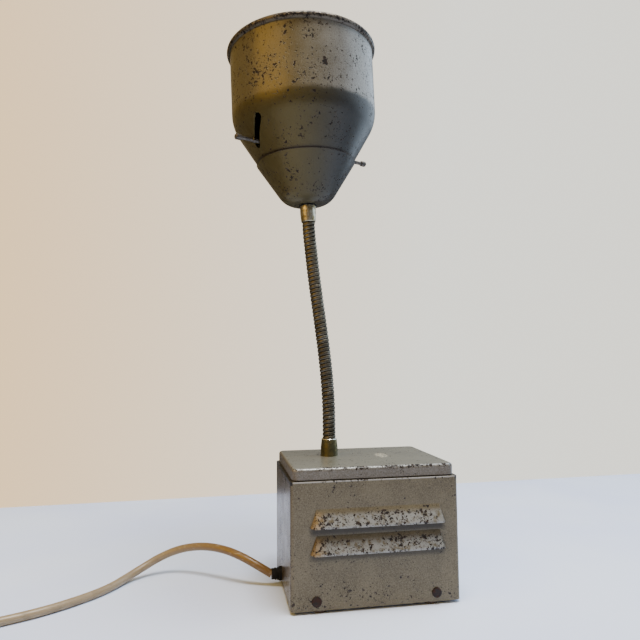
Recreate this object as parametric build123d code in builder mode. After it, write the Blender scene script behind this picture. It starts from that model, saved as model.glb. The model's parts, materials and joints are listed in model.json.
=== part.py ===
from build123d import *
import math
import os

# A bench spotlight: a sheet-steel transformer box, a flexible gooseneck, and a spun steel
# shade whose lamp is focused by two pins in helical slots.
# Millimetres, +Z up.  The origin is on the table, straight under the foot of the neck.

os.makedirs("parts", exist_ok=True)

# ---- driving dimensions: transformer box -----------------------------------------------
BOX_W, BOX_D = 140.0, 110.0          # outside of the housing, X and Y
BOX_X, BOX_Y = 26.0, -10.0           # centre of the box from the neck's foot
FOOT_H = 2.5
BODY_TOP = 102.0
SHEET = 1.2
BODY_R = 3.0                         # bend radius of the upright corners
TOP_FLANGE = 12.0
LID_W, LID_D, LID_R = 136.0, 106.0, 5.5
LID_TOP = 112.0
LID_EDGE_R = 2.5
GASKET_T = 0.9

LOUVRE_LIPS = (45.4, 66.0)           # height of each louvre's lower lip
LOUVRE_X = 2.0                       # the louvres sit a little to the right of the box's centre line
LOUVRE_H = 15.5
LOUVRE_OUT = 6.0
LOUVRE_HALF_LOW, LOUVRE_HALF_TOP, LOUVRE_HALF_FRONT = 57.0, 51.0, 53.0
LOUVRE_LIP_T = 1.6

SCREW_X, SCREW_Z = 49.5, 9.5         # base screws, from the box's centre line
FOOT_X, FOOT_Y, FOOT_R = 46.0, 47.0, 6.0
PLATE_T = 1.4
PLATE_GAP = 0.2
PLATE_FLANGE_H = 13.5
LID_POST_X, LID_POST_Y = 62.8, 30.0
M3 = 1.5                             # radius of an M3 shank

# ---- transformer -----------------------------------------------------------------------
CORE_W, CORE_H, CORE_T = 75.0, 62.5, 30.0
LIMB = 12.5
CORE_X, CORE_Y = 42.0, -8.0
STRAP_T = 1.5
BLOCK_X, BLOCK_Y = -14.0, -42.0
WAY_PITCH = 10.0

# ---- neck ------------------------------------------------------------------------------
HOSE_R = 6.0
HOSE_BORE = 2.2
HOSE_BOTTOM, HOSE_TOP = 127.5, 328.0
PIVOTS = 10
SWAY_X = -17.7                       # sideways run of the neck's S bend
SWAY_FROM, SWAY_TO = 145.0, 345.0
BALL_R, SOCKET_R = 4.6, 4.9
SHOULDER = 3.3
SOCKET_LIP = 1.0
NIPPLE_R, NIPPLE_BORE = 4.9, 3.0

# ---- head ------------------------------------------------------------------------------
HEAD = Plane(origin=(-18.3, 0, 344.0), x_dir=(1, 0, 0.037), z_dir=(-0.037, 0, 1))
CUP_T, SHELL_T = 1.2, 1.0
CUP_R, CUP_TOP = 46.3, 38.9
CUP_FLAT, CUP_BEND, CUP_LEAN = 10.0, 20.0, 57.0    # flat radius, bend radius, lean of the flare
SHADE_R = 67.5
CONE_SLOPE = 0.6136                  # radius gained per height
SHELL_LOW = 34.2
CONE_R, CONE_H = 55.4, 56.5          # a point of the straight cone
SHOULDER_FROM, SHOULDER_TO = 67.6, 86.3
BEAD_R, BEAD_H = 3.0, 145.2
PIN_H = 52.0
PIN_AZIMUTH = 206.5                  # degrees about the head's axis, from its x direction
HELIX = 0.934                        # degrees of turn per millimetre of height
SLOT_LOW, SLOT_HIGH, SLOT_R = 50.2, 67.3, 3.3
GUIDE_R = 8.0
SLEEVE_R = 11.0
REFLECTOR_FOCUS, REFLECTOR_VERTEX = 25.0, 84.5

# ---- mains cord ------------------------------------------------------------------------
CORD_R = 3.5
GLAND_Y, GLAND_Z = 1.5, 10.2
GLAND_OUT = 9.0
WALL_X = BOX_X - BOX_W / 2
CORD_ROUTE = [
    (-53.0, 1.5, 10.2),
    (-65.0, 3.5, 17.5),
    (-79.0, 11.0, 24.0),
    (-94.0, 23.0, 27.5),
    (-113.0, 37.0, 27.5),
    (-134.0, 49.0, 23.0),
    (-153.0, 50.5, 16.0),
    (-169.0, 44.5, 8.5),
    (-182.0, 32.5, 4.2),
    (-192.0, 14.0, 3.6),
    (-207.0, -4.0, 3.6),
    (-235.0, -27.0, 3.6),
    (-268.0, -42.5, 3.6),
    (-298.0, -59.0, 3.6),
]
TAIL_ROUTE = [(-267.6, -140.5, 12.5), (-254.0, -140.2, 9.0), (-241.0, -141.5, 7.2)]
COIL_X, COIL_Y = -297.2, -104.0
COIL_IN, COIL_OUT, COIL_H = 26.0, 47.0, 16.0
PLUG_L, PLUG_W, PLUG_H = 38.0, 30.0, 13.4
PLUG_PIN_R, PLUG_PIN_L, PLUG_PIN_PITCH = 2.0, 19.0, 19.0

BOX = Plane(origin=(BOX_X, BOX_Y, 0))
FRONT = Plane(origin=(BOX_X, BOX_Y - BOX_D / 2, 0), x_dir=(1, 0, 0), z_dir=(0, -1, 0))
PRESSED = Plane(origin=(BOX_X + LOUVRE_X, BOX_Y - BOX_D / 2, 0), x_dir=(1, 0, 0), z_dir=(0, -1, 0))
PLATE_TOP = FOOT_H + PLATE_T


def section_plane(frame):
    """The plane holding a frame's axis: local x is the radius, local y the height."""
    return Plane(origin=frame.origin, x_dir=frame.x_dir, z_dir=-frame.y_dir)


def turned(frame, points):
    """A solid of revolution about the frame's z axis from its closed (radius, height) outline."""
    with BuildPart() as solid:
        with BuildSketch(section_plane(frame)):
            with BuildLine():
                Polyline(*points, close=True)
            make_face()
        revolve(axis=Axis(frame.origin, frame.z_dir))
    return solid.part


def ring(frame, inner, outer, low, high):
    """A plain turned ring."""
    return turned(frame, [(inner, low), (outer, low), (outer, high), (inner, high)])


def hex_nut(frame, inner, across_corners, low, high):
    """A hexagon nut on the frame's z axis."""
    with BuildPart() as nut:
        with BuildSketch(frame.offset(low)):
            RegularPolygon(across_corners / 2, 6)
            Circle(inner, mode=Mode.SUBTRACT)
        extrude(amount=high - low)
    return nut.part


def bend_radii(points):
    """The largest arc at each corner of a route that its two runs leave room for."""
    route = [Vector(*p) for p in points]
    radii = []
    for before, corner, after in zip(route, route[1:], route[2:]):
        into, out = corner - before, after - corner
        half_turn = math.radians(into.get_angle(out)) / 2
        radii.append(0.45 * min(into.length, out.length) / math.tan(half_turn))
    return radii


def tube(points, radii, radius):
    """A round bar along straight runs joined by tangent arcs."""
    with BuildPart() as bar:
        with BuildLine() as path:
            FilletPolyline(*points, radius=radii)
        start = path.line @ 0
        with BuildSketch(Plane(origin=start, z_dir=path.line % 0)):
            Circle(radius)
        sweep(path=path.line)
    return bar.part


def neck_x(height):
    """Sideways place of the neck's centre line at a height."""
    t = min(max((height - SWAY_FROM) / (SWAY_TO - SWAY_FROM), 0.0), 1.0)
    return SWAY_X * t * t * (3 - 2 * t)


# ---- housing: folded sheet, open below, with a flange round its top ----------------------
with BuildPart() as housing:
    with BuildSketch(BOX.offset(FOOT_H)):
        RectangleRounded(BOX_W, BOX_D, BODY_R)
    extrude(amount=BODY_TOP - FOOT_H)
    with BuildSketch(BOX.offset(FOOT_H)):
        RectangleRounded(BOX_W - 2 * SHEET, BOX_D - 2 * SHEET, BODY_R - SHEET)
    extrude(amount=BODY_TOP - SHEET - FOOT_H, mode=Mode.SUBTRACT)
    with BuildSketch(BOX.offset(BODY_TOP - SHEET)):
        Rectangle(BOX_W - 2 * TOP_FLANGE, BOX_D - 2 * TOP_FLANGE)
    extrude(amount=SHEET, mode=Mode.SUBTRACT)
    # louvres pressed out of the front, each open under its lip
    for lip in LOUVRE_LIPS:
        with BuildSketch(PRESSED.offset(-SHEET / 2)):
            with BuildLine():
                Polyline(
                    (-LOUVRE_HALF_LOW, lip), (LOUVRE_HALF_LOW, lip),
                    (LOUVRE_HALF_TOP, lip + LOUVRE_H), (-LOUVRE_HALF_TOP, lip + LOUVRE_H), close=True)
            make_face()
        with BuildSketch(PRESSED.offset(LOUVRE_OUT)):
            with Locations((0, lip)):
                Rectangle(2 * LOUVRE_HALF_FRONT, LOUVRE_LIP_T, align=(Align.CENTER, Align.MIN))
        loft()
        with BuildSketch(PRESSED.offset(-SHEET * 1.5)):
            with BuildLine():
                Polyline(
                    (-LOUVRE_HALF_LOW + 2, lip - 0.5), (LOUVRE_HALF_LOW - 2, lip - 0.5),
                    (LOUVRE_HALF_TOP - 2, lip + LOUVRE_H - 1), (-LOUVRE_HALF_TOP + 2, lip + LOUVRE_H - 1),
                    close=True)
            make_face()
        with BuildSketch(PRESSED.offset(LOUVRE_OUT - SHEET)):
            with Locations((0, lip - 0.5)):
                Rectangle(2 * LOUVRE_HALF_FRONT - 4, LOUVRE_LIP_T, align=(Align.CENTER, Align.MIN))
        loft(mode=Mode.SUBTRACT)
    # screw holes in the front and back, the cord's hole in the left wall, lid screw holes
    with BuildSketch(FRONT):
        with Locations((-SCREW_X, SCREW_Z), (SCREW_X, SCREW_Z)):
            Circle(M3 + 0.2)
    extrude(amount=-BOX_D, mode=Mode.SUBTRACT)
    with BuildSketch(Plane(origin=(WALL_X, GLAND_Y, GLAND_Z), z_dir=(-1, 0, 0))):
        Circle(5.0)
    extrude(amount=-SHEET * 2, mode=Mode.SUBTRACT)
    with BuildSketch(BOX.offset(BODY_TOP)):
        with GridLocations(2 * LID_POST_X, 2 * LID_POST_Y, 2, 2):
            Circle(M3 + 0.2)
    extrude(amount=-SHEET * 2, mode=Mode.SUBTRACT)
housing.part.label = "housing"
export_step(housing.part, "parts/housing.step")

# ---- lid: a shallow pan with four tapped posts welded inside ------------------------------
LID_BOTTOM = BODY_TOP + GASKET_T
with BuildPart() as top_lid:
    with BuildSketch(BOX.offset(LID_BOTTOM)):
        RectangleRounded(LID_W, LID_D, LID_R)
    extrude(amount=LID_TOP - LID_BOTTOM)
    fillet(top_lid.edges().group_by(Axis.Z)[-1], LID_EDGE_R)
    with BuildSketch(BOX.offset(LID_BOTTOM)):
        RectangleRounded(LID_W - 2 * SHEET, LID_D - 2 * SHEET, LID_R - SHEET)
    extrude(amount=LID_TOP - SHEET - LID_BOTTOM, mode=Mode.SUBTRACT)
    with BuildSketch(Plane.XY.offset(LID_TOP)):
        Circle(NIPPLE_R + 0.2)
    extrude(amount=-2 * SHEET, mode=Mode.SUBTRACT)
    with BuildSketch(BOX.offset(BODY_TOP)):
        with GridLocations(2 * LID_POST_X, 2 * LID_POST_Y, 2, 2):
            Circle(3.5)
    extrude(amount=LID_TOP - SHEET - BODY_TOP)
    with BuildSketch(BOX.offset(BODY_TOP)):
        with GridLocations(2 * LID_POST_X, 2 * LID_POST_Y, 2, 2):
            Circle(M3)
    extrude(amount=7.0, mode=Mode.SUBTRACT)
top_lid.part.label = "top_lid"
export_step(top_lid.part, "parts/top_lid.step")

with BuildPart() as lid_gasket:
    with BuildSketch(BOX.offset(BODY_TOP)):
        RectangleRounded(LID_W - 1, LID_D - 1, LID_R - 0.5)
        RectangleRounded(LID_W - 3.2, LID_D - 3.2, LID_R - 1.6, mode=Mode.SUBTRACT)
    extrude(amount=GASKET_T)
lid_gasket.part.label = "lid_gasket"
export_step(lid_gasket.part, "parts/lid_gasket.step")

with BuildPart() as lid_screws:
    with BuildSketch(BOX.offset(BODY_TOP - SHEET)):
        with GridLocations(2 * LID_POST_X, 2 * LID_POST_Y, 2, 2):
            Circle(3.0)
    extrude(amount=-2.4)
    fillet(lid_screws.edges().group_by(Axis.Z)[0], 1.0)
    with BuildSketch(BOX.offset(BODY_TOP - SHEET)):
        with GridLocations(2 * LID_POST_X, 2 * LID_POST_Y, 2, 2):
            Circle(M3)
    extrude(amount=7.0)
lid_screws.part.label = "lid_screws"
export_step(lid_screws.part, "parts/lid_screws.step")

# ---- base plate: a tray with its front and back edges turned up ---------------------------
PLATE_W = BOX_W - 2 * SHEET - 2 * PLATE_GAP
PLATE_D = BOX_D - 2 * SHEET - 2 * PLATE_GAP
with BuildPart() as base_plate:
    with BuildSketch(BOX.offset(FOOT_H)):
        RectangleRounded(PLATE_W, PLATE_D, BODY_R - SHEET)
    extrude(amount=PLATE_T)
    with BuildSketch(BOX.offset(FOOT_H)):
        for side in (-1, 1):
            with Locations((0, side * (PLATE_D - SHEET) / 2)):
                Rectangle(PLATE_W - 12, SHEET)
    extrude(amount=PLATE_FLANGE_H)
    with BuildSketch(FRONT):
        with Locations((-SCREW_X, SCREW_Z), (SCREW_X, SCREW_Z)):
            Circle(M3 + 0.2)
    extrude(amount=-BOX_D, mode=Mode.SUBTRACT)
    with BuildSketch(BOX.offset(FOOT_H)):
        with GridLocations(2 * FOOT_X, 2 * FOOT_Y, 2, 2):
            Circle(M3 + 0.2)
        with Locations((CORE_X - 45 - BOX_X, CORE_Y - BOX_Y), (CORE_X + 45 - BOX_X, CORE_Y - BOX_Y)):
            Circle(M3)
        with Locations((-PLATE_W / 2, GLAND_Y - BOX_Y)):
            Rectangle(14, 14)
    extrude(amount=PLATE_T, mode=Mode.SUBTRACT)
base_plate.part.label = "base_plate"
export_step(base_plate.part, "parts/base_plate.step")

with BuildPart() as base_screws:
    for end, out in ((-1, (0, -1, 0)), (1, (0, 1, 0))):
        face = Plane(origin=(BOX_X, BOX_Y + end * BOX_D / 2, SCREW_Z), x_dir=(1, 0, 0), z_dir=out)
        with BuildSketch(face):
            with Locations((-SCREW_X, 0), (SCREW_X, 0)):
                Circle(4.0)
        extrude(amount=1.5)
        with BuildSketch(face):
            with Locations((-SCREW_X, 0), (SCREW_X, 0)):
                Circle(M3)
        extrude(amount=-6.0)
    fillet(base_screws.edges().filter_by(GeomType.CIRCLE).group_by(Axis.Y)[0], 0.8)
    fillet(base_screws.edges().filter_by(GeomType.CIRCLE).group_by(Axis.Y)[-1], 0.8)
base_screws.part.label = "base_screws"
export_step(base_screws.part, "parts/base_screws.step")

NUT_Y = BOX_D / 2 - 2 * SHEET - PLATE_GAP
with BuildPart() as base_nuts:
    for end, inward in ((-1, (0, 1, 0)), (1, (0, -1, 0))):
        with BuildSketch(Plane(origin=(BOX_X, BOX_Y + end * NUT_Y, SCREW_Z), x_dir=(1, 0, 0), z_dir=inward)):
            with Locations((-SCREW_X, 0), (SCREW_X, 0)):
                RegularPolygon(3.1, 6)
                Circle(M3, mode=Mode.SUBTRACT)
        extrude(amount=2.4)
base_nuts.part.label = "base_nuts"
export_step(base_nuts.part, "parts/base_nuts.step")

# ---- four rubber feet, with their screws and nuts -----------------------------------------
with BuildPart() as rubber_feet:
    with BuildSketch(BOX):
        with GridLocations(2 * FOOT_X, 2 * FOOT_Y, 2, 2):
            Circle(FOOT_R)
            Circle(M3 + 0.1, mode=Mode.SUBTRACT)
    extrude(amount=FOOT_H)
    with BuildSketch(BOX):
        with GridLocations(2 * FOOT_X, 2 * FOOT_Y, 2, 2):
            Circle(3.2)
    extrude(amount=1.2, mode=Mode.SUBTRACT)
rubber_feet.part.label = "rubber_feet"
export_step(rubber_feet.part, "parts/rubber_feet.step")

with BuildPart() as foot_screws:
    with BuildSketch(BOX.offset(0.4)):
        with GridLocations(2 * FOOT_X, 2 * FOOT_Y, 2, 2):
            Circle(2.9)
    extrude(amount=0.8)
    with BuildSketch(BOX.offset(1.2)):
        with GridLocations(2 * FOOT_X, 2 * FOOT_Y, 2, 2):
            Circle(M3)
    extrude(amount=5.8)
foot_screws.part.label = "foot_screws"
export_step(foot_screws.part, "parts/foot_screws.step")

with BuildPart() as foot_nuts:
    with BuildSketch(BOX.offset(PLATE_TOP)):
        with GridLocations(2 * FOOT_X, 2 * FOOT_Y, 2, 2):
            RegularPolygon(3.1, 6)
            Circle(M3, mode=Mode.SUBTRACT)
    extrude(amount=2.4)
foot_nuts.part.label = "foot_nuts"
export_step(foot_nuts.part, "parts/foot_nuts.step")

# ---- transformer: laminated core, two-section bobbin, windings, strap ---------------------
CORE = Plane(origin=(CORE_X, CORE_Y, PLATE_TOP), x_dir=(1, 0, 0), z_dir=(0, -1, 0))
CORE_UP = Plane(origin=(CORE_X, CORE_Y, PLATE_TOP))
WINDOW_H = CORE_H - 2 * LIMB
with BuildPart() as transformer_core:
    with BuildSketch(CORE):
        Rectangle(CORE_W, CORE_H, align=(Align.CENTER, Align.MIN))
        with Locations((-1.5 * LIMB, CORE_H / 2), (1.5 * LIMB, CORE_H / 2)):
            Rectangle(LIMB, WINDOW_H, mode=Mode.SUBTRACT)
    extrude(amount=CORE_T / 2, both=True)
transformer_core.part.label = "transformer_core"
export_step(transformer_core.part, "parts/transformer_core.step")

BOBBIN_W, BOBBIN_D = 2 * LIMB + 2.8, CORE_T + 2.8
CHEEK_T = 1.2
BOBBIN_LOW, BOBBIN_HIGH = LIMB + 0.2, CORE_H - LIMB - 0.2
with BuildPart() as bobbin:
    with BuildSketch(CORE_UP.offset(BOBBIN_LOW)):
        Rectangle(BOBBIN_W, BOBBIN_D)
    extrude(amount=BOBBIN_HIGH - BOBBIN_LOW)
    for cheek in (BOBBIN_LOW, (BOBBIN_LOW + BOBBIN_HIGH - CHEEK_T) / 2, BOBBIN_HIGH - CHEEK_T):
        with BuildSketch(CORE_UP.offset(cheek)):
            RectangleRounded(4 * LIMB - 0.6, CORE_T + 24, 3)
        extrude(amount=CHEEK_T)
    with BuildSketch(CORE_UP.offset(BOBBIN_LOW)):
        Rectangle(2 * LIMB + 0.4, CORE_T + 0.4)
    extrude(amount=BOBBIN_HIGH - BOBBIN_LOW, mode=Mode.SUBTRACT)
bobbin.part.label = "bobbin"
export_step(bobbin.part, "parts/bobbin.step")

SECTION_H = (BOBBIN_HIGH - BOBBIN_LOW - 3 * CHEEK_T) / 2
WINDING_LOW = BOBBIN_LOW + CHEEK_T + 0.1
with BuildPart() as primary_winding:
    with BuildSketch(CORE_UP.offset(WINDING_LOW)):
        RectangleRounded(4 * LIMB - 3, CORE_T + 21, 6)
        Rectangle(BOBBIN_W + 0.2, BOBBIN_D + 0.2, mode=Mode.SUBTRACT)
    extrude(amount=SECTION_H - 0.2)
primary_winding.part.label = "primary_winding"
export_step(primary_winding.part, "parts/primary_winding.step")

with BuildPart() as secondary_winding:
    with BuildSketch(CORE_UP.offset(WINDING_LOW + SECTION_H + CHEEK_T)):
        RectangleRounded(4 * LIMB - 5, CORE_T + 18, 6)
        Rectangle(BOBBIN_W + 0.2, BOBBIN_D + 0.2, mode=Mode.SUBTRACT)
    extrude(amount=SECTION_H - 0.2)
secondary_winding.part.label = "secondary_winding"
export_step(secondary_winding.part, "parts/secondary_winding.step")

STRAP_HALF = CORE_W / 2 + 0.1 + STRAP_T
with BuildPart() as transformer_strap:
    with BuildSketch(CORE):
        Rectangle(2 * STRAP_HALF, CORE_H + 0.1 + STRAP_T, align=(Align.CENTER, Align.MIN))
        Rectangle(2 * STRAP_HALF + 22, STRAP_T, align=(Align.CENTER, Align.MIN))
        Rectangle(CORE_W + 0.2, CORE_H + 0.1, align=(Align.CENTER, Align.MIN), mode=Mode.SUBTRACT)
    extrude(amount=CORE_T / 2, both=True)
    with BuildSketch(CORE_UP):
        with Locations((-45, 0), (45, 0)):
            Circle(M3 + 0.2)
    extrude(amount=STRAP_T, mode=Mode.SUBTRACT)
transformer_strap.part.label = "transformer_strap"
export_step(transformer_strap.part, "parts/transformer_strap.step")

with BuildPart() as transformer_screws:
    with BuildSketch(CORE_UP.offset(STRAP_T)):
        with Locations((-45, 0), (45, 0)):
            Circle(2.9)
    extrude(amount=2.0)
    fillet(transformer_screws.edges().group_by(Axis.Z)[-1], 0.8)
    with BuildSketch(CORE_UP.offset(STRAP_T)):
        with Locations((-45, 0), (45, 0)):
            Circle(M3)
    extrude(amount=-STRAP_T - PLATE_T + 0.1)
transformer_screws.part.label = "transformer_screws"
export_step(transformer_screws.part, "parts/transformer_screws.step")

# ---- two-way terminal block and the wiring inside the box ---------------------------------
BLOCK_W, BLOCK_H, BLOCK_AXIS = 17.0, 13.0, 6.6
BLOCK_END = Plane(
    origin=(BLOCK_X - BLOCK_W / 2, BLOCK_Y, PLATE_TOP + BLOCK_AXIS), x_dir=(0, -1, 0), z_dir=(-1, 0, 0))
BLOCK_TOP = Plane(origin=(BLOCK_X, BLOCK_Y, PLATE_TOP + BLOCK_H))
with BuildPart() as terminal_block:
    with BuildSketch(Plane(origin=(BLOCK_X, BLOCK_Y, PLATE_TOP))):
        RectangleRounded(BLOCK_W, 2 * WAY_PITCH, 1)
    extrude(amount=BLOCK_H)
    with BuildSketch(BLOCK_END):
        with GridLocations(WAY_PITCH, 1, 2, 1):
            Circle(2.6)
    extrude(amount=-BLOCK_W, mode=Mode.SUBTRACT)
    with BuildSketch(BLOCK_TOP):
        with GridLocations(8, WAY_PITCH, 2, 2):
            Circle(1.8)
    extrude(amount=BLOCK_AXIS - BLOCK_H, mode=Mode.SUBTRACT)
terminal_block.part.label = "terminal_block"
export_step(terminal_block.part, "parts/terminal_block.step")

with BuildPart() as terminal_clamps:
    with BuildSketch(BLOCK_END.offset(-1.5)):
        with GridLocations(WAY_PITCH, 1, 2, 1):
            Circle(2.5)
            Circle(1.4, mode=Mode.SUBTRACT)
    extrude(amount=3 - BLOCK_W)
    with BuildSketch(BLOCK_TOP):
        with GridLocations(8, WAY_PITCH, 2, 2):
            Circle(1.65)
    extrude(amount=BLOCK_AXIS - BLOCK_H, mode=Mode.SUBTRACT)
terminal_clamps.part.label = "terminal_clamps"
export_step(terminal_clamps.part, "parts/terminal_clamps.step")

with BuildPart() as terminal_screws:
    with BuildSketch(BLOCK_TOP.offset(-0.6)):
        with GridLocations(8, WAY_PITCH, 2, 2):
            Circle(1.6)
    extrude(amount=-4.4)
terminal_screws.part.label = "terminal_screws"
export_step(terminal_screws.part, "parts/terminal_screws.step")

WIRE_R = 1.0
WAY_Z = PLATE_TOP + BLOCK_AXIS
WAY_LEFT, WAY_RIGHT = BLOCK_X - BLOCK_W / 2, BLOCK_X + BLOCK_W / 2
JACKET_END = -32.0
WINDING_FACE = CORE_Y - (CORE_T + 21) / 2
mains_wires = Part() + [
    tube(
        [
            (JACKET_END, GLAND_Y + side * 1.4, GLAND_Z),
            (JACKET_END + 5 + side * 1.6, GLAND_Y + side * 1.4 - 1, GLAND_Z),
            (JACKET_END + side * 2 + 2, BLOCK_Y + side * WAY_PITCH / 2, WAY_Z),
            (WAY_LEFT + 4, BLOCK_Y + side * WAY_PITCH / 2, WAY_Z),
        ],
        2.2, WIRE_R)
    for side in (-1, 1)
]
mains_wires.label = "mains_wires"
export_step(mains_wires, "parts/mains_wires.step")

primary_wires = Part() + [
    tube(
        [
            (WAY_RIGHT - 4, BLOCK_Y + side * WAY_PITCH / 2, WAY_Z),
            (WAY_RIGHT + 8 - side * 2, BLOCK_Y + side * WAY_PITCH / 2, WAY_Z),
            (WAY_RIGHT + 26 - side * 3, WINDING_FACE - 1.3, 22 + side * 2),
            (WAY_RIGHT + 40 - side * 4, WINDING_FACE - 1.1, 25 + side * 2),
        ],
        4.0, WIRE_R)
    for side in (-1, 1)
]
primary_wires.label = "primary_wires"
export_step(primary_wires, "parts/primary_wires.step")

lamp_wires = Part() + [
    tube(
        [
            (side * 1.4, 0, 98),
            (side * 1.4, 0, 84),
            (7 + side * 1.5, -34, 72),
            (16 + side * 2, -38, 58),
            (30 + side * 4, WINDING_FACE + 0.3, 44),
        ],
        5.0, WIRE_R)
    for side in (-1, 1)
]
lamp_wires.label = "lamp_wires"
export_step(lamp_wires, "parts/lamp_wires.step")

# ---- cable gland and mains cord -----------------------------------------------------------
GLAND = Plane(origin=(WALL_X, GLAND_Y, GLAND_Z), x_dir=(0, 0, 1), z_dir=(-1, 0, 0))
GLAND_BORE = CORD_R + 0.05
with BuildPart() as cable_gland:
    add(turned(GLAND, [
        (GLAND_BORE, -12.0), (4.5, -12.0), (4.8, -3.6), (5.8, -3.6), (5.8, -1.3), (4.9, -1.3),
        (4.9, 0.0), (6.0, 0.0), (6.0, 2.2), (5.3, 2.6), (5.3, 3.8), (4.7, 4.1), (4.7, 4.7),
        (5.1, 5.0), (5.1, 6.2), (4.5, 6.5), (4.5, 7.1), (4.8, 7.4), (4.6, GLAND_OUT),
        (GLAND_BORE, GLAND_OUT),
    ]))
cable_gland.part.label = "cable_gland"
export_step(cable_gland.part, "parts/cable_gland.step")

with BuildPart() as mains_cord_inside:
    with BuildSketch(GLAND.offset(GLAND_OUT)):
        Circle(CORD_R)
    extrude(amount=WALL_X - GLAND_OUT - JACKET_END)
mains_cord_inside.part.label = "mains_cord_inside"
export_step(mains_cord_inside.part, "parts/mains_cord_inside.step")

cord_radii = bend_radii(CORD_ROUTE)
mains_cord = tube(CORD_ROUTE, cord_radii, CORD_R)
mains_cord.label = "mains_cord"
export_step(mains_cord, "parts/mains_cord.step")

tail_radii = bend_radii(TAIL_ROUTE)
mains_cord_tail = tube(TAIL_ROUTE, tail_radii, CORD_R)
mains_cord_tail.label = "mains_cord_tail"
export_step(mains_cord_tail, "parts/mains_cord_tail.step")
print("cord radii", [round(r, 1) for r in cord_radii + tail_radii])

COIL = Plane(origin=(COIL_X, COIL_Y, 0))
with BuildPart() as cord_coil:
    add(ring(COIL, COIL_IN, COIL_OUT, 0.1, COIL_H))
    fillet(cord_coil.edges(), 3.0)
cord_coil.part.label = "cord_coil"
export_step(cord_coil.part, "parts/cord_coil.step")

# ---- generic two-pin plug -------------------------------------------------------------------
PLUG = Plane(origin=TAIL_ROUTE[-1], x_dir=(0, 1, 0), z_dir=(1, 0, 0))
PLUG_NECK = 12.0
with BuildPart() as plug_body:
    with BuildSketch(PLUG):
        RectangleRounded(10, 10, 4.5)
    with BuildSketch(PLUG.offset(PLUG_NECK)):
        RectangleRounded(PLUG_W, PLUG_H, 5)
    loft()
    with BuildSketch(PLUG.offset(PLUG_NECK)):
        RectangleRounded(PLUG_W, PLUG_H, 5)
    extrude(amount=PLUG_L - PLUG_NECK)
    fillet(plug_body.edges().group_by(Axis.X)[-1], 1.5)
    with BuildSketch(PLUG.offset(PLUG_L)):
        with GridLocations(PLUG_PIN_PITCH, 1, 2, 1):
            Circle(PLUG_PIN_R)
    extrude(amount=-6, mode=Mode.SUBTRACT)
plug_body.part.label = "plug_body"
export_step(plug_body.part, "parts/plug_body.step")

with BuildPart() as plug_pins:
    with BuildSketch(PLUG.offset(PLUG_L - 6)):
        with GridLocations(PLUG_PIN_PITCH, 1, 2, 1):
            Circle(PLUG_PIN_R)
    extrude(amount=PLUG_PIN_L + 6)
    fillet(plug_pins.edges().group_by(Axis.X)[-1], 1.0)
plug_pins.part.label = "plug_pins"
export_step(plug_pins.part, "parts/plug_pins.step")

# ---- neck: ferrule at the foot, hose in ball-jointed lengths --------------------------------
FOOT = Plane.XY
with BuildPart() as neck_base_ferrule:
    add(turned(FOOT, [
        (NIPPLE_BORE, 96.0), (NIPPLE_R - 0.5, 96.0), (NIPPLE_R, 96.5), (NIPPLE_R, LID_TOP),
        (7.75, LID_TOP), (7.75, 119.5), (6.9, HOSE_BOTTOM - 0.4), (6.6, HOSE_BOTTOM),
        (HOSE_R + 0.05, HOSE_BOTTOM), (HOSE_R + 0.05, 114.5), (NIPPLE_BORE, 114.5),
    ]))
neck_base_ferrule.part.label = "neck_base_ferrule"
export_step(neck_base_ferrule.part, "parts/neck_base_ferrule.step")

with BuildPart() as neck_washer:
    add(ring(FOOT, NIPPLE_R + 0.2, 9.0, LID_TOP - SHEET - 1.5, LID_TOP - SHEET))
neck_washer.part.label = "neck_washer"
export_step(neck_washer.part, "parts/neck_washer.step")

neck_nut = hex_nut(FOOT, NIPPLE_R, 16.0, LID_TOP - SHEET - 7.0, LID_TOP - SHEET - 1.5)
neck_nut.label = "neck_nut"
export_step(neck_nut, "parts/neck_nut.step")

PIVOT_STEP = (HOSE_TOP - HOSE_BOTTOM) / PIVOTS
HEAD_UP = Vector(*HEAD.z_dir)
pivots = []
for k in range(PIVOTS - 1):
    height = HOSE_BOTTOM + PIVOT_STEP * (k + 0.5)
    pivots.append(Vector(neck_x(height), 0, height))
pivots.append(HEAD.origin - HEAD_UP * (HEAD.origin.Z - HOSE_TOP + PIVOT_STEP / 2))
print("pivots", [(round(p.X, 3), round(p.Z, 3)) for p in pivots])


def hose_length(low, high, socket, ball, name):
    """One length of hose from low to high: a socket round low if asked, a ball round high."""
    axis = high - low
    frame = Plane(origin=low, x_dir=(axis.Z, 0, -axis.X), z_dir=axis)
    with BuildPart() as length:
        with BuildSketch(section_plane(frame)):
            with BuildLine():
                if socket:
                    lip_r = math.sqrt(SOCKET_R ** 2 - SOCKET_LIP ** 2)
                    crown = math.sqrt(SOCKET_R ** 2 - HOSE_BORE ** 2)
                    start = (HOSE_BORE, crown)
                    ThreePointArc(start, (SOCKET_R, 0), (lip_r, -SOCKET_LIP))
                    Line((lip_r, -SOCKET_LIP), (HOSE_R, -SOCKET_LIP))
                    base = (HOSE_R, -SOCKET_LIP)
                else:
                    start = (HOSE_BORE, 0)
                    Line(start, (HOSE_R, 0))
                    base = (HOSE_R, 0)
                if ball:
                    top = axis.length - SHOULDER
                    neck_r = math.sqrt(BALL_R ** 2 - SHOULDER ** 2)
                    crest = axis.length + math.sqrt(BALL_R ** 2 - HOSE_BORE ** 2)
                    Polyline(base, (HOSE_R, top), (neck_r, top))
                    ThreePointArc((neck_r, top), (BALL_R, axis.length), (HOSE_BORE, crest))
                    Line((HOSE_BORE, crest), start)
                else:
                    Polyline(base, (HOSE_R, axis.length), (HOSE_BORE, axis.length), start)
            make_face()
        revolve(axis=Axis(frame.origin, frame.z_dir))
    length.part.label = name
    export_step(length.part, f"parts/{name}.step")


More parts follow.
